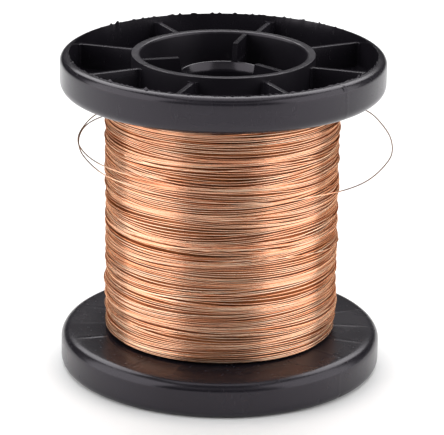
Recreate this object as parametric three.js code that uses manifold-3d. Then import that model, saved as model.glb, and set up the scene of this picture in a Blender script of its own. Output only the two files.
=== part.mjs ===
// A wire spool: a plastic barrel with two dished, ribbed flanges and two bored hub inserts, wound with
// bare copper wire whose last turns have sprung free. Millimetres, +Z up along the spool's axis, with
// the origin in the middle of the end face that the spool stands on.

import * as THREE from 'three';
import { mergeVertices } from 'three/addons/utils/BufferGeometryUtils.js';
import Module from 'manifold-3d';

const wasm = await Module();
wasm.setup();

// Driving dimensions
const spoolLength = 80;
const flangeRadius = 40;
const flangeDepth = 9.2;
const barrelRadius = 22.5;
const barrelWall = 2.1;
const boreRadius = 9.5;
const windingRadius = 29;
const wireDiameter = 0.3;
const fitGap = 0.3;

// Flange
const webThickness = 1.8;
const rimLand = 0.4;
const openEdgeRadius = 1.9;
const wireEdgeRadius = 2.7;
const rimDraft = 0.5;
const ribCount = 8;
const ribThickness = 1.3;
const ribDrop = 1.3;
const firstRibAngle = 26.6;

// Hub insert
const hubDrop = 8.2;
const hubThickness = 1.3;
const collarDrop = 5;
const collarRadius = 11;
const boreMouthRadius = 10.4;
const boreMouthDepth = 2.1;
const finCount = 3;
const finThickness = 1.4;
const finDrop = 0.4;
const finTipRadius = 11.3;
const finInset = 0.05;
const firstFinAngle = 75;

// Winding
const windingEndGap = 0.4;
const windingShoulderWidth = 0.8;
const windingShoulderHeight = 1.2;

// Facets
const roundSegments = 72;
const arcSteps = 4;
const wireSides = 8;
const wireSteps = 78;

const blackPlastic = { color: 0x2b2a2d, roughness: 0.42, metalness: 0 };
const copper = { color: 0xc98a5e, roughness: 0.35, metalness: 1 };

const radians = THREE.MathUtils.degToRad;
const barrelBore = barrelRadius - barrelWall;

// The points of a quarter round from one point to the next about a centre, in (radius, height).
function arc(centreR, centreZ, radius, fromDegrees, toDegrees) {
  return Array.from({ length: arcSteps + 1 }, (_, i) => {
    const angle = radians(fromDegrees + ((toDegrees - fromDegrees) * i) / arcSteps);
    return [centreR + radius * Math.cos(angle), centreZ + radius * Math.sin(angle)];
  });
}

// A solid of revolution about Z from a closed outline of (radius, height) points, anticlockwise.
function turned(outline) {
  const points = [...outline, outline[0]].map(([r, z]) => new THREE.Vector2(r, z));
  return new THREE.LatheGeometry(points, roundSegments).rotateX(Math.PI / 2);
}

function toManifold(geometry) {
  const bare = geometry.clone();
  bare.deleteAttribute('normal');
  bare.deleteAttribute('uv');
  const merged = mergeVertices(bare, 1e-4);
  return new wasm.Manifold(
    new wasm.Mesh({
      numProp: 3,
      vertProperties: new Float32Array(merged.attributes.position.array),
      triVerts: new Uint32Array(merged.index.array),
    }),
  );
}

function toGeometry(manifold) {
  const mesh = manifold.getMesh();
  const geometry = new THREE.BufferGeometry();
  geometry.setAttribute('position', new THREE.BufferAttribute(new Float32Array(mesh.vertProperties), 3));
  geometry.setIndex(new THREE.BufferAttribute(new Uint32Array(mesh.triVerts), 1));
  geometry.computeVertexNormals();
  return geometry;
}

// One upright radial plate from radius `from` to radius `to`, between two heights.
function radialPlate(from, to, bottom, top, thickness, angleDegrees) {
  return new THREE.BoxGeometry(to - from, thickness, top - bottom)
    .translate((from + to) / 2, 0, (bottom + top) / 2)
    .rotateZ(radians(angleDegrees));
}

function joined(geometries) {
  return toGeometry(geometries.map(toManifold).reduce((all, next) => all.add(next)));
}

// A dished flange with its open side at z = 0 and its wire side at z = flangeDepth.
function flangeGeometry() {
  const lipRadius = flangeRadius - openEdgeRadius;
  const rimInside = lipRadius - rimLand;
  const collar = barrelRadius + fitGap;
  const webBottom = flangeDepth - webThickness;
  const dish = turned([
    [collar, webBottom],
    [rimInside - rimDraft, webBottom],
    [rimInside, 0],
    ...arc(lipRadius, openEdgeRadius, openEdgeRadius, -90, 0),
    ...arc(flangeRadius - wireEdgeRadius, flangeDepth - wireEdgeRadius, wireEdgeRadius, 0, 90),
    [collar, flangeDepth],
  ]);
  const rimBite = 0.6;
  const webBite = webThickness / 2;
  const ribs = Array.from({ length: ribCount }, (_, i) =>
    radialPlate(collar, rimInside + rimBite, ribDrop, webBottom + webBite, ribThickness, (360 * i) / ribCount),
  );
  return joined([dish, ...ribs]);
}

// One fin of a hub insert: an upright plate whose inner edge leans in, down onto the collar.
function finGeometry(angleDegrees) {
  const outerRadius = barrelBore - fitGap - finInset;
  const foot = hubDrop + hubThickness / 2;
  const outline = [
    [finTipRadius, finDrop],
    [outerRadius, finDrop],
    [outerRadius, foot],
    [boreMouthRadius, foot],
    [boreMouthRadius, collarDrop],
  ];
  const shape = new THREE.Shape(outline.map(([r, z]) => new THREE.Vector2(r, z)));
  return new THREE.ExtrudeGeometry(shape, { depth: finThickness, bevelEnabled: false })
    .rotateX(Math.PI / 2)
    .translate(0, finThickness / 2, 0)
    .rotateZ(radians(angleDegrees));
}

// A hub insert: a web with a raised collar, a spindle bore whose mouth is a wide cone, and three short
// upright fins. Its open side is at z = 0.
function hubGeometry() {
  const hubRadius = barrelBore - fitGap;
  const disc = turned([
    [boreRadius, collarDrop + boreMouthDepth],
    [boreMouthRadius, collarDrop],
    [collarRadius, collarDrop],
    [collarRadius, hubDrop],
    [hubRadius, hubDrop],
    [hubRadius, hubDrop + hubThickness],
    [boreRadius, hubDrop + hubThickness],
  ]);
  const fins = Array.from({ length: finCount }, (_, i) => finGeometry((360 * i) / finCount));
  return joined([disc, ...fins]);
}

function barrelGeometry() {
  return turned([
    [barrelBore, 0],
    [barrelRadius, 0],
    [barrelRadius, spoolLength],
    [barrelBore, spoolLength],
  ]);
}

// The body of wound wire, with its two ends rounding in where the turns fall away from the flanges.
function windingGeometry() {
  const inside = barrelRadius + fitGap;
  const bottom = flangeDepth + windingEndGap;
  const top = spoolLength - bottom;
  const shoulder = windingRadius - windingShoulderWidth;
  return turned([
    [inside, bottom],
    [shoulder, bottom],
    [windingRadius, bottom + windingShoulderHeight],
    [windingRadius, top - windingShoulderHeight],
    [shoulder, top],
    [inside, top],
  ]);
}

// The free turns of wire: off the front of the winding, out past its left side, round the back, past the
// right side, across the front again, out to the left once more and back onto the winding behind.
const looseWireRoute = [
  [-2.6, -29.6, 54.8],
  [-9.9, -28.0, 54.8],
  [-18.4, -23.2, 54.8],
  [-27.9, -15.2, 55.2],
  [-32.0, -11.0, 56.1],
  [-35.0, -4.5, 57.1],
  [-35.6, 1.5, 57.7],
  [-34.4, 11.0, 58.0],
  [-32.3, 18.0, 58.3],
  [-27.0, 27.5, 58.6],
  [-16.5, 36.2, 58.8],
  [0.0, 40.3, 59.0],
  [17.0, 39.0, 58.9],
  [29.5, 33.0, 58.6],
  [36.8, 25.0, 58.3],
  [40.2, 16.0, 57.5],
  [42.1, 7.0, 56.1],
  [41.8, 0.5, 54.2],
  [39.5, -4.0, 52.4],
  [35.5, -9.5, 50.8],
  [30.5, -13.9, 50.0],
  [21.6, -20.6, 50.1],
  [12.2, -27.2, 50.7],
  [0.0, -29.8, 51.4],
  [-12.2, -27.2, 52.0],
  [-20.8, -21.4, 52.4],
  [-27.9, -15.3, 53.0],
  [-31.9, -9.5, 54.0],
  [-34.8, -3.0, 55.3],
  [-35.6, 3.5, 56.5],
  [-34.4, 13.0, 57.0],
  [-31.0, 20.5, 57.0],
  [-25.0, 26.5, 56.8],
  [-17.0, 30.4, 56.6],
  [-7.0, 32.0, 56.5],
  [3.5, 30.9, 56.4],
  [12.6, 27.2, 56.4],
  [20.0, 22.0, 56.3],
  [25.0, 16.2, 56.2],
];

function looseWireGeometry() {
  const route = new THREE.CatmullRomCurve3(looseWireRoute.map(([x, y, z]) => new THREE.Vector3(x, y, z)));
  const section = new THREE.Shape(
    Array.from({ length: wireSides }, (_, i) => {
      const angle = (2 * Math.PI * i) / wireSides;
      return new THREE.Vector2(Math.cos(angle), Math.sin(angle)).multiplyScalar(wireDiameter / 2);
    }),
  );
  return new THREE.ExtrudeGeometry(section, { steps: wireSteps, extrudePath: route });
}

function piece(name, geometry, finish) {
  const mesh = new THREE.Mesh(geometry, new THREE.MeshStandardMaterial(finish));
  mesh.name = name;
  return mesh;
}

// The flange and the hub insert at one end of the spool. The top end is the bottom one turned over.
function spoolEnd(side, turnedOver) {
  const flange = piece(`${side}_flange`, flangeGeometry(), blackPlastic);
  const hub = piece(`${side}_hub`, hubGeometry(), blackPlastic);
  const end = new THREE.Group();
  [[flange, firstRibAngle], [hub, firstFinAngle]].forEach(([mesh, angle]) => {
    const phase = new THREE.Group();
    mesh.rotation.x = turnedOver ? Math.PI : 0;
    phase.rotation.z = radians(angle);
    phase.add(mesh);
    end.add(phase);
  });
  end.position.z = turnedOver ? spoolLength : 0;
  return end;
}

const spool = new THREE.Group();
spool.add(
  piece('barrel', barrelGeometry(), blackPlastic),
  spoolEnd('bottom', false),
  spoolEnd('top', true),
  piece('wire_winding', windingGeometry(), copper),
  piece('loose_wire', looseWireGeometry(), copper),
);

export default spool;
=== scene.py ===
"""Looks for the wire spool: moulded black plastic, fine turns of copper wire and their free end.

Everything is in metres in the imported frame: +Z along the spool's axis, the spool standing on z = 0.
"""
import math

import bmesh
import bpy
import numpy as np
from mathutils import Matrix, Vector


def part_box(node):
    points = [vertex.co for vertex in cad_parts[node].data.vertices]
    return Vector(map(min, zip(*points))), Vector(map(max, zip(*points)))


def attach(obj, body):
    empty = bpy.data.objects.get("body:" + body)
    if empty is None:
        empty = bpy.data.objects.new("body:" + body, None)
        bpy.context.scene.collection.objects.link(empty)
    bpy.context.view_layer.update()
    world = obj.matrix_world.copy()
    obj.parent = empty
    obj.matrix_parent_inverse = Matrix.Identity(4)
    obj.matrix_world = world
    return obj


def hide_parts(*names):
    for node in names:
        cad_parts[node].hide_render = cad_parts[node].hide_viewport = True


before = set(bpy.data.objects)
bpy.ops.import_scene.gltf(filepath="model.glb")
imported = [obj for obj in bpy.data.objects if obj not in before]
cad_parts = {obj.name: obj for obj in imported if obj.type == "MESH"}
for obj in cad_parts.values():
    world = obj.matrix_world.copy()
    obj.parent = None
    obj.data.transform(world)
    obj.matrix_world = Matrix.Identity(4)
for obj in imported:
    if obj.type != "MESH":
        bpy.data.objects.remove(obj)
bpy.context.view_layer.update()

MM = 0.001
rng = np.random.default_rng(23)


# ---------------------------------------------------------------- sizes, from the frame

def node_corners(node):
    """The low and the high corner of a CAD node's box."""
    low, high = (np.array(corner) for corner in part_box(node))
    return low, high


flange_high = node_corners("bottom_flange")[1]
barrel_high = node_corners("barrel")[1]
winding_low, winding_high = node_corners("wire_winding")

SPOOL_LENGTH = barrel_high[2]
FLANGE_RADIUS = flange_high[0]
FLANGE_DEPTH = flange_high[2]
BARREL_RADIUS = barrel_high[0]
WINDING_RADIUS = winding_high[0]
WINDING_LOW = winding_low[2]
WINDING_HIGH = winding_high[2]
WIRE = 0.3 * MM

# A drop is measured inward from the end of the spool.

BARREL_WALL = 2.1 * MM
BARREL_BORE = BARREL_RADIUS - BARREL_WALL
WEB = 1.8 * MM
OPEN_EDGE = 1.9 * MM
WIRE_EDGE = 2.7 * MM
RIM_LAND = 0.4 * MM
RIM_DRAFT = 0.5 * MM
FLANGE_INSIDE = FLANGE_RADIUS - OPEN_EDGE - RIM_LAND
RIB_COUNT = 8
RIB_HALF = 0.62 * MM
RIB_DROP = 1.3 * MM
FIRST_RIB = math.radians(26.6)
HUB_DROP = 8.2 * MM
HUB_WEB = 1.3 * MM
COLLAR_DROP = 5 * MM
COLLAR_RADIUS = 11 * MM
BORE = 9.5 * MM
BORE_MOUTH = 10.4 * MM
MOUTH_DEPTH = 2.1 * MM
FIN_COUNT = 3
FIN_HALF = 0.65 * MM
FIN_DROP = 0.4 * MM
FIN_TIP = 11.3 * MM
FIRST_FIN = math.radians(75)


# ---------------------------------------------------------------- camera

def make_camera():
    data = bpy.data.cameras.new("camera")
    camera = bpy.data.objects.new("camera", data)
    bpy.context.scene.collection.objects.link(camera)
    distance = 653.3 * MM
    elevation = math.radians(18.96)
    roll = math.radians(0.776)
    target = Vector((0.16 * MM, 0, 37.53 * MM))
    away = Vector((0, -math.cos(elevation), math.sin(elevation)))
    camera.location = target + away * distance
    facing = away.to_track_quat("Z", "Y")
    camera.rotation_euler = (facing.to_matrix() @ Matrix.Rotation(roll, 3, "Z")).to_euler()
    data.lens = 212.6
    data.sensor_width = 36
    data.clip_start = 0.05
    data.clip_end = 20
    bpy.context.scene.camera = camera


make_camera()


# ---------------------------------------------------------------- mesh helpers

def add_object(name, mesh):
    obj = bpy.data.objects.new(name, mesh)
    bpy.context.scene.collection.objects.link(obj)
    return obj


def mesh_from(name, points, faces):
    mesh = bpy.data.meshes.new(name)
    mesh.from_pydata(np.asarray(points).tolist(), [], [list(face) for face in faces])
    mesh.update()
    return mesh


SHARP_FROM = 32  # degrees between two faces, from which their edge is shaded as a sharp one


def smooth_by_angle(mesh, degrees):
    mesh.shade_smooth()
    mesh.set_sharp_from_angle(angle=math.radians(degrees))


def arc(centre_r, centre_z, radius, start, end, steps):
    """Points of an arc in the (radius, height) plane, from one angle in degrees to another."""
    angles = np.radians(np.linspace(start, end, steps + 1))
    return [(centre_r + radius * math.cos(a), centre_z + radius * math.sin(a)) for a in angles]


def straight(start, end, steps):
    """Points between two corners, without the corners themselves."""
    return [tuple(np.array(start) + (np.array(end) - np.array(start)) * i / steps) for i in range(1, steps)]


def rounded(before, corner, after, size, steps):
    """Points that round off a corner, from `size` before it to `size` after it."""
    before, corner, after = np.array(before), np.array(corner), np.array(after)
    start = corner + (before - corner) / np.linalg.norm(before - corner) * size
    end = corner + (after - corner) / np.linalg.norm(after - corner) * size
    shares = np.linspace(0, 1, steps + 1)
    return [tuple((1 - s) ** 2 * start + 2 * s * (1 - s) * corner + s ** 2 * end) for s in shares]


def turned_mesh(name, outline, segments, shape=None):
    """A solid of revolution from a closed (radius, height) outline. shape(r, z, angle) may move points."""
    outline = np.array(outline)
    angles = np.linspace(0, 2 * math.pi, segments, endpoint=False)
    r = np.repeat(outline[None, :, 0], segments, 0)
    z = np.repeat(outline[None, :, 1], segments, 0)
    a = np.repeat(angles[:, None], len(outline), 1)
    if shape:
        r, z = shape(r, z, a)
    points = np.stack([r * np.cos(a), r * np.sin(a), z], -1).reshape(-1, 3)
    n = len(outline)
    i, j = np.meshgrid(np.arange(segments), np.arange(n), indexing="ij")
    ni, nj = (i + 1) % segments, (j + 1) % n
    faces = np.stack([i * n + j, ni * n + j, ni * n + nj, i * n + nj], -1).reshape(-1, 4)
    return mesh_from(name, points, faces)


def joined(name, base, extra):
    """The union of two closed meshes, as one mesh."""
    base_obj, extra_obj = add_object(name, base), add_object(name + "_extra", extra)
    union = base_obj.modifiers.new("union", "BOOLEAN")
    union.operation = "UNION"
    union.solver = "EXACT"
    union.object = extra_obj
    bpy.context.view_layer.update()
    evaluated = base_obj.evaluated_get(bpy.context.evaluated_depsgraph_get())
    result = bpy.data.meshes.new_from_object(evaluated)
    bpy.data.objects.remove(base_obj)
    bpy.data.objects.remove(extra_obj)
    return result


def periodic_noise(angle, waves, seed):
    """Smooth noise round the circle, about -1 to 1, with the given numbers of waves per turn."""
    phases = np.random.default_rng(seed).uniform(0, 2 * math.pi, len(waves))
    total = sum(np.sin(angle * count + phase) for count, phase in zip(waves, phases))
    return total / math.sqrt(len(waves))


def on_radius(r, aside, z, angle):
    """The point at radius r on the radial line at `angle`, and `aside` from that line."""
    return (r * math.cos(angle) - aside * math.sin(angle), r * math.sin(angle) + aside * math.cos(angle), z)


def radial_plate(start, wall, buried, free, root, half, angle):
    """An upright radial rib: rounded free edge, a little draft, and a fillet where it meets each wall.

    It runs from radius `start` to the wall at radius `wall` and on into it by `buried`, and in height from
    its free edge at `free` to `root`. `half` is half its thickness. Returns its points and faces.
    """
    fillet = 0.7 * MM
    edge = 0.12 * MM
    draft = 0.15 * MM
    inner = [(start + gap, fillet - gap) for gap in np.linspace(0, fillet, 5)]
    outer = [(wall - gap, fillet - gap) for gap in np.linspace(fillet, 0, 5)]
    stations = inner + outer + [(wall + buried, fillet)]  # radius, how far into the fillet
    points, faces = [], []
    for r, near in stations:
        wide = half + fillet - math.sqrt(fillet ** 2 - near ** 2)
        section = [(wide + draft, root), (wide, free + edge)]
        section += [(wide - edge + edge * math.cos(turn), free + edge - edge * math.sin(turn))
                    for turn in np.radians([30, 60, 90])]
        section += [(-aside, z) for aside, z in reversed(section)]
        points += [on_radius(r, aside, z, angle) for aside, z in section]
    n = len(section)
    for k in range(len(stations) - 1):
        for i in range(n):
            j = (i + 1) % n
            faces.append((k * n + i, (k + 1) * n + i, (k + 1) * n + j, k * n + j))
    faces.append(tuple(range(n)))
    faces.append(tuple((len(stations) - 1) * n + i for i in reversed(range(n))))
    return points, faces


def facing_out(mesh):
    """The same mesh with its faces turned outward."""
    work = bmesh.new()
    work.from_mesh(mesh)
    bmesh.ops.recalc_face_normals(work, faces=work.faces)
    work.to_mesh(mesh)
    work.free()
    return mesh


def merged(name, solids):
    """One mesh from several solids' points and faces."""
    points, faces = [], []
    for more_points, more_faces in solids:
        base = len(points)
        points += more_points
        faces += [tuple(base + i for i in face) for face in more_faces]
    return facing_out(mesh_from(name, points, faces))


def placed(mesh, turned_over, phase):
    """Puts a mesh made with its open side at z = 0 at one end of the spool."""
    move = Matrix.Rotation(phase, 4, "Z")
    if turned_over:
        move = Matrix.Translation((0, 0, SPOOL_LENGTH)) @ move @ Matrix.Rotation(math.pi, 4, "X")
    mesh.transform(move)
    return mesh


# ---------------------------------------------------------------- node helpers

class Nodes:
    """A short way to add and link shader nodes."""

    def __init__(self, name):
        self.material = bpy.data.materials.new(name)
        self.material.use_nodes = True
        self.tree = self.material.node_tree
        self.shader = self.tree.nodes["Principled BSDF"]

    def add(self, kind, **inputs):
        node = self.tree.nodes.new(kind)
        for key, value in inputs.items():
            if key in node.bl_rna.properties:
                setattr(node, key, value)
            else:
                self.feed(value, node.inputs[key.replace("_", " ")])
        return node

    def feed(self, value, socket):
        if isinstance(value, bpy.types.NodeSocket):
            self.tree.links.new(value, socket)
        else:
            socket.default_value = value

    def maths(self, operation, first, second=0.0):
        node = self.tree.nodes.new("ShaderNodeMath")
        node.operation = operation
        self.feed(first, node.inputs[0])
        self.feed(second, node.inputs[1])
        return node.outputs[0]

    def scaled(self, vector, scale):
        node = self.tree.nodes.new("ShaderNodeVectorMath")
        node.operation = "MULTIPLY"
        self.feed(vector, node.inputs[0])
        self.feed(scale, node.inputs[1])
        return node.outputs[0]

    def noise(self, vector, scale, detail=3.0, roughness=0.5):
        node = self.add("ShaderNodeTexNoise", Vector=vector, Scale=scale, Detail=detail, Roughness=roughness)
        return node.outputs["Fac"]

    def spread(self, value, low, high, to_low, to_high):
        """Maps value from one range to another and holds it inside the second one."""
        node = self.add("ShaderNodeMapRange", clamp=True)
        for source, socket in zip((value, low, high, to_low, to_high), node.inputs):
            self.feed(source, socket)
        return node.outputs[0]

    def blend(self, share, first, second):
        node = self.tree.nodes.new("ShaderNodeMix")
        node.data_type = "RGBA"
        self.feed(share, node.inputs["Factor"])
        self.feed(first, node.inputs[6])
        self.feed(second, node.inputs[7])
        return node.outputs[2]

    def bump(self, height, strength, distance):
        return self.add("ShaderNodeBump", Height=height, Strength=strength, Distance=distance).outputs[0]

    def place(self):
        return self.add("ShaderNodeTexCoord").outputs["Object"]

    def wrapped(self, radius):
        """(distance round the axis, height, radius) for a point, so that marks can run up a wall."""
        parts = self.add("ShaderNodeSeparateXYZ", Vector=self.place())
        x, y, z = parts.outputs
        turn = self.maths("MULTIPLY", self.maths("ARCTAN2", y, x), radius)
        squares = self.maths("ADD", self.maths("MULTIPLY", x, x), self.maths("MULTIPLY", y, y))
        from_axis = self.maths("SQRT", squares)
        return self.add("ShaderNodeCombineXYZ", X=turn, Y=z, Z=from_axis).outputs[0]


# ---------------------------------------------------------------- materials
# Noise scales are in waves per metre, about.

SCUFF_TONE = (0.05, 0.049, 0.052, 1)
DUST_TONE = (0.20, 0.19, 0.19, 1)
PINK_OXIDE = (0.90, 0.52, 0.36, 1)
# Painted shade: the dark tone of the free wire where it stands clear of the winding, faded in from CLEAR_FROM
# to CLEAR_TO off the axis.
FREE_WIRE_PAINTED_SHADE = (0.10, 0.055, 0.038, 1)
CLEAR_FROM = WINDING_RADIUS + 2.2 * MM
CLEAR_TO = WINDING_RADIUS + 4.2 * MM


def black_plastic(name, base, rough, wear):
    """Moulded black plastic: faint flow clouds, a soft ripple, grain, upright drag marks, scuffs, dust."""
    m = Nodes(name)
    place, wall = m.place(), m.wrapped(FLANGE_RADIUS)
    clouds = m.spread(m.noise(place, 55, 3), 0.35, 0.65, 0.0, 1.0)
    ripple = m.noise(place, 110, 2)
    drag = m.noise(m.scaled(wall, (900, 60, 60)), 1.0, 2)
    grain = m.noise(place, 2200, 2)
    scuffs = m.spread(m.noise(m.scaled(place, (700, 700, 250)), 1.0, 5, 0.7), 0.62, 0.72, 0.0, 1.0)
    dust = m.spread(m.noise(place, 1900, 1), 0.81, 0.84, 0.0, 1.0)
    darker = (base, base * 0.88, base * 1.2, 1)
    lighter = (base * 1.4, base * 1.24, base * 1.65, 1)
    tone = m.blend(clouds, darker, lighter)
    tone = m.blend(m.maths("MULTIPLY", scuffs, wear), tone, SCUFF_TONE)
    tone = m.blend(m.maths("MULTIPLY", dust, 0.07), tone, DUST_TONE)
    m.feed(tone, m.shader.inputs["Base Color"])
    rough_value = m.maths("ADD", m.spread(clouds, 0.0, 1.0, rough - 0.03, rough + 0.04),
                          m.maths("MULTIPLY", scuffs, 0.12))
    m.feed(rough_value, m.shader.inputs["Roughness"])
    m.shader.inputs["IOR"].default_value = 1.46
    m.shader.inputs["Specular Tint"].default_value = (0.97, 0.90, 1.0, 1)
    fine = m.maths("ADD", m.maths("MULTIPLY", grain, 0.5), m.maths("MULTIPLY", drag, 0.5))
    small = m.bump(fine, 0.10, 0.02 * MM)
    broad = m.add("ShaderNodeBump", Height=ripple, Strength=0.25, Distance=0.25 * MM, Normal=small)
    m.feed(broad.outputs[0], m.shader.inputs["Normal"])
    return m.material


def copper(name, dark, light, rough, shaded_where_clear=False):
    """Drawn copper wire: each turn has its own tone, with fine bumps and a pinker oxide in patches.

    With the last argument set, the wire is painted dark where it stands clear of the winding: painted shade.
    """
    m = Nodes(name)
    place, wall = m.place(), m.wrapped(WINDING_RADIUS)
    turns = m.noise(m.scaled(wall, (35, 2600, 0)), 1.0, 1)
    patches = m.noise(m.scaled(wall, (60, 180, 60)), 1.0, 3)
    tone = m.blend(m.spread(turns, 0.3, 0.7, 0.0, 1.0), dark, light)
    tone = m.blend(m.spread(patches, 0.45, 0.75, 0.0, 0.25), tone, PINK_OXIDE)
    # Painted shade: the wire darkens where it stands clear of the winding.
    if shaded_where_clear:
        from_axis = m.add("ShaderNodeSeparateXYZ", Vector=wall).outputs[2]
        tone = m.blend(m.spread(from_axis, CLEAR_FROM, CLEAR_TO, 0.0, 1.0), tone, FREE_WIRE_PAINTED_SHADE)
    m.feed(tone, m.shader.inputs["Base Color"])
    m.shader.inputs["Metallic"].default_value = 1.0
    m.shader.inputs["Specular Tint"].default_value = (0.94, 0.62, 0.45, 1)
    m.feed(m.spread(turns, 0.3, 0.7, rough - 0.05, rough + 0.08), m.shader.inputs["Roughness"])
    fine = m.noise(m.scaled(place, (2500, 2500, 9000)), 1.0, 2)
    m.feed(m.bump(fine, 0.12, 0.02 * MM), m.shader.inputs["Normal"])
    return m.material


FLANGE_PLASTIC = black_plastic("flange_black_plastic", 0.009, 0.24, 0.18)
BARREL_PLASTIC = black_plastic("barrel_black_plastic", 0.009, 0.32, 0.25)
HUB_PLASTIC = black_plastic("hub_black_plastic", 0.008, 0.24, 0.18)
COPPER = copper("copper_wire_outer", (0.80, 0.34, 0.17, 1), (0.96, 0.71, 0.52, 1), 0.21)
# The free end: copper, with painted shade where it stands clear of the winding.
LOOSE_COPPER = copper("loose_wire_copper_with_painted_shade", (0.85, 0.40, 0.225, 1), (0.96, 0.72, 0.535, 1), 0.26,
                      shaded_where_clear=True)
# Inner turns and core: copper darkened far below its own tone, as painted shade between the outer turns.
PAINTED_SHADE_COPPER = copper("deep_wire_painted_shade", (0.21, 0.05, 0.014, 1), (0.50, 0.18, 0.065, 1), 0.30)


def finish_piece(obj, material, nodes):
    """Gives a piece its material, hangs it under the root body and hides the CAD nodes that it takes the
    place of.
    """
    obj.data.materials.clear()
    obj.data.materials.append(material)
    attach(obj, "root")
    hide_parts(*nodes)


# ---------------------------------------------------------------- the free turns of wire (a cord)

LOOSE_WIRE_ROUTE = [  # millimetres, the same points as the CAD solid's
    (-2.6, -29.6, 54.8), (-9.9, -28.0, 54.8), (-18.4, -23.2, 54.8), (-27.9, -15.2, 55.2),
    (-32.0, -11.0, 56.1), (-35.0, -4.5, 57.1), (-35.6, 1.5, 57.7), (-34.4, 11.0, 58.0),
    (-32.3, 18.0, 58.3), (-27.0, 27.5, 58.6), (-16.5, 36.2, 58.8), (0.0, 40.3, 59.0),
    (17.0, 39.0, 58.9), (29.5, 33.0, 58.6), (36.8, 25.0, 58.3), (40.2, 16.0, 57.5),
    (42.1, 7.0, 56.1), (41.8, 0.5, 54.2), (39.5, -4.0, 52.4), (35.5, -9.5, 50.8),
    (30.5, -13.9, 50.0), (21.6, -20.6, 50.1), (12.2, -27.2, 50.7), (0.0, -29.8, 51.4),
    (-12.2, -27.2, 52.0), (-20.8, -21.4, 52.4), (-27.9, -15.3, 53.0), (-31.9, -9.5, 54.0),
    (-34.8, -3.0, 55.3), (-35.6, 3.5, 56.5), (-34.4, 13.0, 57.0), (-31.0, 20.5, 57.0),
    (-25.0, 26.5, 56.8), (-17.0, 30.4, 56.6), (-7.0, 32.0, 56.5), (3.5, 30.9, 56.4),
    (12.6, 27.2, 56.4), (20.0, 22.0, 56.3), (25.0, 16.2, 56.2),
]


def through_points(points, steps):
    """A centripetal Catmull-Rom curve through the points, with `steps` steps from each one to the next."""
    points = np.array(points, float)
    before = 2 * points[0] - points[1]
    after = 2 * points[-1] - points[-2]
    p = np.concatenate([[before], points, [after]])
    knots = np.concatenate([[0], np.cumsum(np.sqrt(np.linalg.norm(np.diff(p, axis=0), axis=1)))])
    line = []
    for k in range(1, len(p) - 2):
        t0, t1, t2, t3 = knots[k - 1:k + 3]
        for t in np.linspace(t1, t2, steps, endpoint=False):
            a1 = ((t1 - t) * p[k - 1] + (t - t0) * p[k]) / (t1 - t0)
            a2 = ((t2 - t) * p[k] + (t - t1) * p[k + 1]) / (t2 - t1)
            a3 = ((t3 - t) * p[k + 1] + (t - t2) * p[k + 2]) / (t3 - t2)
            b1 = ((t2 - t) * a1 + (t - t0) * a2) / (t2 - t0)
            b2 = ((t3 - t) * a2 + (t - t1) * a3) / (t3 - t1)
            line.append(((t2 - t) * b1 + (t - t1) * b2) / (t2 - t1))
    return np.array(line + [points[-1]])


def make_loose_wire():
    line = through_points(LOOSE_WIRE_ROUTE, 10) * MM
    curve = bpy.data.curves.new("loose_wire_end", "CURVE")
    curve.dimensions = "3D"
    curve.bevel_depth = WIRE / 2
    curve.bevel_resolution = 3
    curve.use_fill_caps = True
    spline = curve.splines.new("POLY")
    spline.points.add(len(line) - 1)
    for point, place in zip(spline.points, line):
        point.co = (*place, 1)
    spline.use_smooth = True
    obj = add_object("loose_wire_end", curve)
    finish_piece(obj, LOOSE_COPPER, ["loose_wire"])


make_loose_wire()


# ---------------------------------------------------------------- flanges

FLANGE_SEGMENTS = 600
LIP_CREST = FLANGE_INSIDE + 0.06 * MM
BURR_PLACE = math.radians(135.5)
BURR_WIDTH = math.radians(0.6)
PARTING_LINES = [math.radians(-43), math.radians(137)]
RIDGE_COUNT = 20


def flange_outline():
    """The dish's outline, its open side at height 0 and its wire side at FLANGE_DEPTH."""
    lip = FLANGE_RADIUS - OPEN_EDGE
    collar = BARREL_RADIUS + 0.02 * MM
    web_bottom = FLANGE_DEPTH - WEB
    foot = 0.8 * MM
    inner_foot = FLANGE_INSIDE - RIM_DRAFT
    return [
        (collar, web_bottom + 0.3 * MM),
        (collar + 0.3 * MM, web_bottom),
        *straight((collar, web_bottom), (inner_foot - foot, web_bottom), 4),
        *arc(inner_foot - foot, web_bottom - foot, foot, 90, 0, 5),
        *straight((inner_foot, web_bottom - foot), (FLANGE_INSIDE, 0.1 * MM), 3),
        (FLANGE_INSIDE, 0.1 * MM),
        (LIP_CREST, 0),
        (FLANGE_INSIDE + 0.2 * MM, 0),
        *arc(lip, OPEN_EDGE, OPEN_EDGE, -90, 0, 10),
        *straight((FLANGE_RADIUS, OPEN_EDGE), (FLANGE_RADIUS, FLANGE_DEPTH - WIRE_EDGE), 4),
        *arc(FLANGE_RADIUS - WIRE_EDGE, FLANGE_DEPTH - WIRE_EDGE, WIRE_EDGE, 0, 90, 12),
        *straight((FLANGE_RADIUS - WIRE_EDGE, FLANGE_DEPTH), (collar, FLANGE_DEPTH), 12),
        (collar, FLANGE_DEPTH),
    ]


def angle_off(a, line):
    """How far each angle is from a line's angle, from -pi to pi."""
    return (a - line + math.pi) % (2 * math.pi) - math.pi


def ridge_profile(across, width):
    """1 on a line and falling off smoothly to both sides of it."""
    return np.exp(-(across / width) ** 2)


def with_flash(r, z, a, seed, burr_place):
    """Ragged flash that stands up from the lip, with one taller burr."""
    lip = (np.abs(r - LIP_CREST) < 0.01 * MM) & (z < 0.01 * MM)
    ragged = np.clip(periodic_noise(a, [41, 67, 88, 113, 137, 163], seed), 0, 2)
    coarse = np.clip(0.95 + 0.35 * periodic_noise(a, [3, 5, 8, 13], seed + 1), 0.7, 1.3)
    height = (0.12 + 0.30 * ragged * coarse) * MM
    height += 0.75 * MM * ridge_profile(angle_off(a, burr_place), BURR_WIDTH)
    return np.where(lip, r + 0.1 * height, r), np.where(lip, z - height, z)


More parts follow.
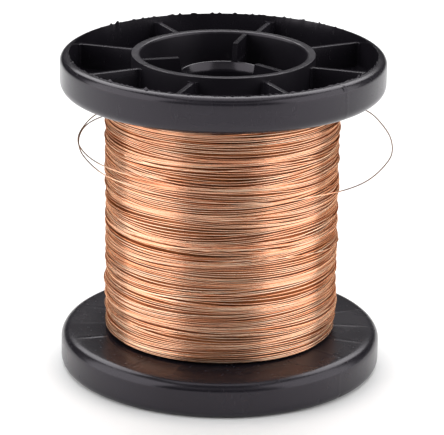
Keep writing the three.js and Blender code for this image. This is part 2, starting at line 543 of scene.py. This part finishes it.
def with_parting_line(r, z, wall, across):
    """A fine upright ridge on the wall, and a nick beside it at the wall's open end."""
    r = np.where(wall, r + 0.05 * MM * ridge_profile(across, 0.28 * MM), r)
    nick = wall & (z < 1.4 * MM) & (np.abs(across - 0.5 * MM) < 0.45 * MM)
    return np.where(nick, r - 0.22 * MM, r)


def flange_shape(side, turned_over, flash):
    """Moves the dish's points: flash on the lip, a slightly wavy wall, parting lines, faint ridges."""
    draw = np.random.default_rng(len(side))
    ridges = draw.uniform(0.25, 1.0, RIDGE_COUNT)
    seed = int(draw.integers(1000))

    def local(angle):
        """The angle that a place on the spool has in the mesh, before the mesh is put in place."""
        return FIRST_RIB - angle if turned_over else angle - FIRST_RIB

    def shape(r, z, a):
        if flash:
            r, z = with_flash(r, z, a, seed, local(BURR_PLACE))
        wall = r > FLANGE_RADIUS - 1.2 * OPEN_EDGE
        r = np.where(wall, r + 0.025 * MM * (periodic_noise(a, [2, 3, 5, 7, 12], seed + 2) - 1.5), r)
        for line in PARTING_LINES:
            r = with_parting_line(r, z, wall, angle_off(a, local(line)) * r)
        face = (z > FLANGE_DEPTH - 0.001 * MM) & (r > BARREL_RADIUS + 1 * MM)
        fade = np.clip((FLANGE_RADIUS - WIRE_EDGE - r) / (1.5 * MM), 0, 1)
        for k, strength in enumerate(ridges):
            wander = 0.25 * MM * np.sin(r / (2.5 * MM) + k)
            across = angle_off(a, local(2 * math.pi * k / RIDGE_COUNT)) * r + wander
            z = np.where(face, z + strength * 0.10 * MM * fade * ridge_profile(across, 0.38 * MM), z)
        return r, z

    return shape


def flange_rib(angle):
    return radial_plate(start=BARREL_RADIUS + 0.03 * MM, wall=FLANGE_INSIDE - RIM_DRAFT / 2, buried=0.7 * MM,
                        free=RIB_DROP, root=FLANGE_DEPTH - WEB / 2, half=RIB_HALF, angle=angle)


def make_flange(side, turned_over, flash):
    shape = flange_shape(side, turned_over, flash)
    dish = turned_mesh(side + "_flange_dish", flange_outline(), FLANGE_SEGMENTS, shape)
    ribs = merged(side + "_flange_ribs", [flange_rib(2 * math.pi * i / RIB_COUNT) for i in range(RIB_COUNT)])
    mesh = placed(joined(side + "_flange_moulding", dish, ribs), turned_over, FIRST_RIB)
    smooth_by_angle(mesh, SHARP_FROM)
    obj = add_object(side + "_flange_moulding", mesh)
    finish_piece(obj, FLANGE_PLASTIC, [side + "_flange"])


make_flange("bottom", turned_over=False, flash=False)
make_flange("top", turned_over=True, flash=True)


# ---------------------------------------------------------------- hub inserts

HUB_SEGMENTS = 160


def hub_outline():
    """The web with a raised collar, and a bore whose mouth is a wide cone with soft edges."""
    rim = BARREL_BORE - 0.02 * MM
    bottom = HUB_DROP + HUB_WEB
    edge = 0.25 * MM
    throat = (BORE, COLLAR_DROP + MOUTH_DEPTH)
    mouth = (BORE_MOUTH, COLLAR_DROP)
    collar = (COLLAR_RADIUS, COLLAR_DROP)
    foot = (COLLAR_RADIUS, HUB_DROP)
    return [
        *arc(rim - edge, bottom - edge, edge, 0, 90, 3),
        (BORE + edge, bottom),
        (BORE, bottom - edge),
        *rounded((BORE, bottom), throat, mouth, 0.5 * MM, 5),
        *rounded(throat, mouth, collar, 0.25 * MM, 4),
        *rounded(mouth, collar, foot, 0.3 * MM, 4),
        *rounded(collar, foot, (rim, HUB_DROP), 0.5 * MM, 4),
        *straight(foot, (rim - edge, HUB_DROP), 5)[1:],
        *arc(rim - edge, HUB_DROP + edge, edge, -90, 0, 3),
    ]


def hub_fin(angle):
    """A fin whose inner edge leans in, down onto the collar, and which widens towards its foot."""
    foot = HUB_DROP + HUB_WEB / 2
    edge = 0.12 * MM
    height = COLLAR_DROP - FIN_DROP
    far = BARREL_BORE - 0.03 * MM
    levels = [  # height, half the thickness, how far the inner edge is set back
        (FIN_DROP, FIN_HALF - edge, edge),
        (FIN_DROP + edge, FIN_HALF, 0.0),
        *[(FIN_DROP + height * k / 4, FIN_HALF, 0.0) for k in (1, 2, 3)],
        (COLLAR_DROP - 0.2 * MM, FIN_HALF + 0.04 * MM, 0.0),
        (COLLAR_DROP, FIN_HALF + 0.2 * MM, 0.0),
        (HUB_DROP - 0.4 * MM, FIN_HALF + 0.2 * MM, 0.0),
        (foot, FIN_HALF + 0.6 * MM, 0.0),
    ]
    points, faces = [], []
    for z, half, inset in levels:
        lean = min((z - FIN_DROP) / height, 1.0)
        near = FIN_TIP + (BORE_MOUTH - FIN_TIP) * lean + inset
        corners = ((near, -half), (far, -half), (far, half), (near, half))
        points += [on_radius(r, aside, z, angle) for r, aside in corners]
    for k in range(len(levels) - 1):
        for i in range(4):
            j = (i + 1) % 4
            faces.append((k * 4 + i, k * 4 + j, k * 4 + 4 + j, k * 4 + 4 + i))
    faces.append((0, 3, 2, 1))
    last = (len(levels) - 1) * 4
    faces.append((last, last + 1, last + 2, last + 3))
    return points, faces


def make_hub(side, turned_over):
    disc = turned_mesh(side + "_hub_disc", hub_outline()[::-1], HUB_SEGMENTS)
    fins = merged(side + "_hub_fins", [hub_fin(2 * math.pi * i / FIN_COUNT) for i in range(FIN_COUNT)])
    mesh = placed(joined(side + "_hub_insert", facing_out(disc), fins), turned_over, FIRST_FIN)
    smooth_by_angle(mesh, SHARP_FROM)
    obj = add_object(side + "_hub_insert", mesh)
    finish_piece(obj, HUB_PLASTIC, [side + "_hub"])


make_hub("bottom", turned_over=False)
make_hub("top", turned_over=True)


# ---------------------------------------------------------------- barrel

BARREL_SEGMENTS = 192


def barrel_outline():
    """The tube's four corners rounded off, more on the inside, with points along its flats between them."""
    outer_edge = 0.22 * MM
    inner_edge = 0.7 * MM
    corners = [
        (BARREL_BORE, 0),
        (BARREL_RADIUS, 0),
        (BARREL_RADIUS, SPOOL_LENGTH),
        (BARREL_BORE, SPOOL_LENGTH),
    ]
    cuts = [inner_edge, outer_edge, outer_edge, inner_edge]
    outline = []
    for k, (corner, cut) in enumerate(zip(corners, cuts)):
        after = corners[(k + 1) % 4]
        outline += rounded(corners[k - 1], corner, after, cut, 4)
        outline += straight(outline[-1], (np.array(corner) + np.array(after)) / 2, 3)
    return outline


def uneven_ends(r, z, a):
    """Moves the tube's points so that its two end faces dip a little, and never stand out."""
    for height, inward in ((0, 1), (SPOOL_LENGTH, -1)):
        near = np.abs(z - height) < 0.02 * MM
        dip = np.clip(0.5 + 0.5 * periodic_noise(a, [2, 5, 9, 23, 41], int(height * 1000) + 3), 0, 1)
        z = np.where(near, z + inward * 0.05 * MM * dip, z)
    return r, z


def make_barrel():
    mesh = turned_mesh("barrel_tube", barrel_outline(), BARREL_SEGMENTS, uneven_ends)
    smooth_by_angle(mesh, SHARP_FROM)
    obj = add_object("barrel_tube", mesh)
    finish_piece(obj, BARREL_PLASTIC, ["barrel"])


make_barrel()


# ---------------------------------------------------------------- the winding

def wave_field(seed, count, shortest, longest, most_turns, slope):
    """A smooth random function of (height, angle) that closes round the circle.

    It is the sum of `count` waves, from shortest to longest in height, with at most most_turns waves round
    the circle. A wave's size goes with its length, and together they have a slope of about `slope` in height.
    """
    draw = np.random.default_rng(seed)
    lengths = np.exp(draw.uniform(math.log(shortest), math.log(longest), count))
    around = draw.integers(-most_turns, most_turns + 1, count)
    phases = draw.uniform(0, 2 * math.pi, count)
    sizes = lengths * slope / (2 * math.pi) * math.sqrt(2 / count)

    def field(z, a):
        total = np.zeros_like(z)
        for length, turns, phase, size in zip(lengths, around, phases, sizes):
            total += size * np.cos(2 * math.pi * z / length + turns * a + phase)
        return total

    return field


BULGES = wave_field(101, 16, 5 * MM, 16 * MM, 2, 0.06)
BUNDLES = wave_field(102, 40, 1.4 * MM, 4 * MM, 3, 0.25)
STRANDS = wave_field(103, 56, 0.6 * MM, 1.3 * MM, 4, 0.46)
END_ROUND = 1.0 * MM
CORE_SEGMENTS = 120


def winding_face(z, a):
    """The radius of the winding's outer face, which falls off at both ends."""
    end = np.minimum(z - WINDING_LOW, WINDING_HIGH - z) / END_ROUND
    drop = 0.7 * MM * np.clip(1 - end, 0, 1) ** 2
    return WINDING_RADIUS - 0.2 * MM + BULGES(z, a) + BUNDLES(z, a) + STRANDS(z, a) - drop


def wire_mesh(name, lines, sides):
    """Wires along lines of points. A wire's section is set out along the radius and the height."""
    points, faces, base = [], [], 0
    around = np.arange(sides) * 2 * math.pi / sides
    upward = np.array((0, 0, 1.0))
    for line in lines:
        outward = line * (1, 1, 0)
        outward /= np.linalg.norm(outward, axis=1)[:, None]
        section = (np.cos(around)[None, :, None] * outward[:, None]
                   + np.sin(around)[None, :, None] * upward)
        points.append((line[:, None] + WIRE / 2 * section).reshape(-1, 3))
        n = len(line)
        i, j = np.meshgrid(np.arange(n - 1), np.arange(sides), indexing="ij")
        nj = (j + 1) % sides
        quads = np.stack([i * sides + j, i * sides + nj, (i + 1) * sides + nj, (i + 1) * sides + j], -1)
        faces += (quads.reshape(-1, 4) + base).tolist()
        faces.append([base + k for k in range(sides)])
        faces.append([base + (n - 1) * sides + k for k in reversed(range(sides))])
        base += n * sides
    mesh = mesh_from(name, np.concatenate(points), faces)
    mesh.shade_smooth()
    return mesh


def wound_layer(name, depth, pitch, hand, spacing, steps, sides, material):
    """One layer of turns, `depth` below the winding's face: a helix whose turns bunch and gape.

    `hand` is 1 or -1, the way that it is wound. `spacing` moves the turns up and down, `steps` is the number
    of points to a turn, and `sides` is the number of sides of the wire.
    """
    low, high = WINDING_LOW + WIRE / 2, WINDING_HIGH - WIRE / 2
    turns = int((high - low) / pitch)
    t = np.linspace(0, turns, turns * steps + 1)
    a = hand * 2 * math.pi * t
    z = low + (high - low) * t / turns
    taper = np.clip(np.minimum(z - low, high - z) / (1.2 * MM), 0, 1)
    z = z + spacing(z, a) * taper
    r = winding_face(z, a) - WIRE / 2 - depth
    line = np.stack([r * np.cos(a), r * np.sin(a), z], -1)
    obj = add_object(name, wire_mesh(name, [line], sides))
    finish_piece(obj, material, ["wire_winding"])


def crossing_strands(name, count):
    """Single turns laid across the others at a slant, which dive under their neighbours at both ends."""
    lines = []
    for _ in range(count):
        start = rng.uniform(0, 2 * math.pi)
        sweep = rng.uniform(1.2, 5.5)
        low = rng.uniform(WINDING_LOW + 2 * MM, WINDING_HIGH - 2 * MM)
        climb = rng.normal(0, 1.3) * MM
        wander = rng.uniform(-0.5, 0.5) * MM
        s = np.linspace(0, 1, int(sweep * 22))
        a = start + sweep * s
        z = low + climb * (3 * s ** 2 - 2 * s ** 3) + wander * np.sin(2 * math.pi * s)
        z = np.clip(z, WINDING_LOW + WIRE, WINDING_HIGH - WIRE)
        going_in = np.clip(1 - s / 0.12, 0, 1) ** 2
        coming_out = np.clip(1 - (1 - s) / 0.12, 0, 1) ** 2
        dive = 0.62 * MM * (going_in + coming_out)
        r = winding_face(z, a) + 0.04 * MM - dive
        lines.append(np.stack([r * np.cos(a), r * np.sin(a), z], -1))
    obj = add_object(name, wire_mesh(name, lines, 6))
    finish_piece(obj, COPPER, ["wire_winding"])


def make_core():
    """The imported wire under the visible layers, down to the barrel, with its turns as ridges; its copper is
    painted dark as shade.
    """
    inner = BARREL_RADIUS + 0.05 * MM
    heights = np.arange(WINDING_LOW + 0.1 * MM, WINDING_HIGH - 0.1 * MM, WIRE / 2)
    outline = [(WINDING_RADIUS, z) for z in heights]
    outline += [(inner, WINDING_HIGH), (inner, WINDING_LOW)]

    def packed(r, z, a):
        ridged = winding_face(z, a) - 0.75 * MM + 0.06 * MM * np.cos(2 * math.pi * z / WIRE)
        return np.where(r > WINDING_RADIUS - 1 * MM, ridged, r), z

    mesh = turned_mesh("winding_core", outline, CORE_SEGMENTS, packed)
    mesh.shade_smooth()
    obj = add_object("winding_core", mesh)
    finish_piece(obj, PAINTED_SHADE_COPPER, ["wire_winding"])


make_core()
# The inner and middle turns are painted dark as shade between the outer turns.
wound_layer("winding_inner_turns", depth=0.50 * MM, pitch=0.36 * MM, hand=-1,
            spacing=wave_field(7, 30, 0.9 * MM, 6 * MM, 3, 0.30), steps=72, sides=4, material=PAINTED_SHADE_COPPER)
wound_layer("winding_middle_turns", depth=0.27 * MM, pitch=0.40 * MM, hand=1,
            spacing=wave_field(8, 40, 0.9 * MM, 7 * MM, 3, 0.36), steps=84, sides=5, material=PAINTED_SHADE_COPPER)
wound_layer("winding_outer_turns", depth=0.0, pitch=0.44 * MM, hand=-1,
            spacing=wave_field(9, 48, 0.9 * MM, 8 * MM, 3, 0.42), steps=100, sides=6, material=COPPER)
crossing_strands("winding_crossing_turns", 46)


# ---------------------------------------------------------------- floor and light

def make_floor():
    far = 3
    corners = [(-far, -far, 0), (far, -far, 0), (far, far, 0), (-far, far, 0)]
    mesh = mesh_from("floor", corners, [(0, 1, 2, 3)])
    floor = add_object("floor", mesh)
    m = Nodes("pale_floor")
    m.shader.inputs["Base Color"].default_value = (0.95, 0.95, 0.95, 1)
    m.shader.inputs["Roughness"].default_value = 0.6
    mesh.materials.append(m.material)


def softbox(name, place, aim, width, height, power):
    """A rectangular lamp that faces `aim`. Its power is in watts."""
    data = bpy.data.lights.new(name, "AREA")
    data.shape = "RECTANGLE"
    data.size = width
    data.size_y = height
    data.energy = power
    lamp = bpy.data.objects.new(name, data)
    bpy.context.scene.collection.objects.link(lamp)
    lamp.location = place
    away = Vector(place) - Vector(aim)
    lamp.rotation_euler = away.to_track_quat("Z", "Y").to_euler()


def make_light():
    world = bpy.data.worlds.new("studio")
    bpy.context.scene.world = world
    world.use_nodes = True
    background = world.node_tree.nodes["Background"]
    background.inputs["Color"].default_value = (1, 1, 1, 1)
    background.inputs["Strength"].default_value = 0.04
    middle = (0, 0, SPOOL_LENGTH / 2)
    softbox("left_softbox", (-0.70, -0.20, 0.38), middle, 1.0, 0.85, 6.2)
    softbox("right_softbox", (0.70, -0.20, 0.38), middle, 1.0, 0.85, 5.7)
    softbox("back_sheet", (0.0, 0.85, 1.15), middle, 2.0, 1.1, 25)
    softbox("overhead", (0.0, -0.1, 1.3), middle, 1.0, 0.7, 3.3)
    softbox("front_softbox", (0.0, -1.05, 0.72), middle, 1.4, 0.30, 0.8)
    bpy.context.scene.view_settings.view_transform = "Standard"


make_floor()
make_light()
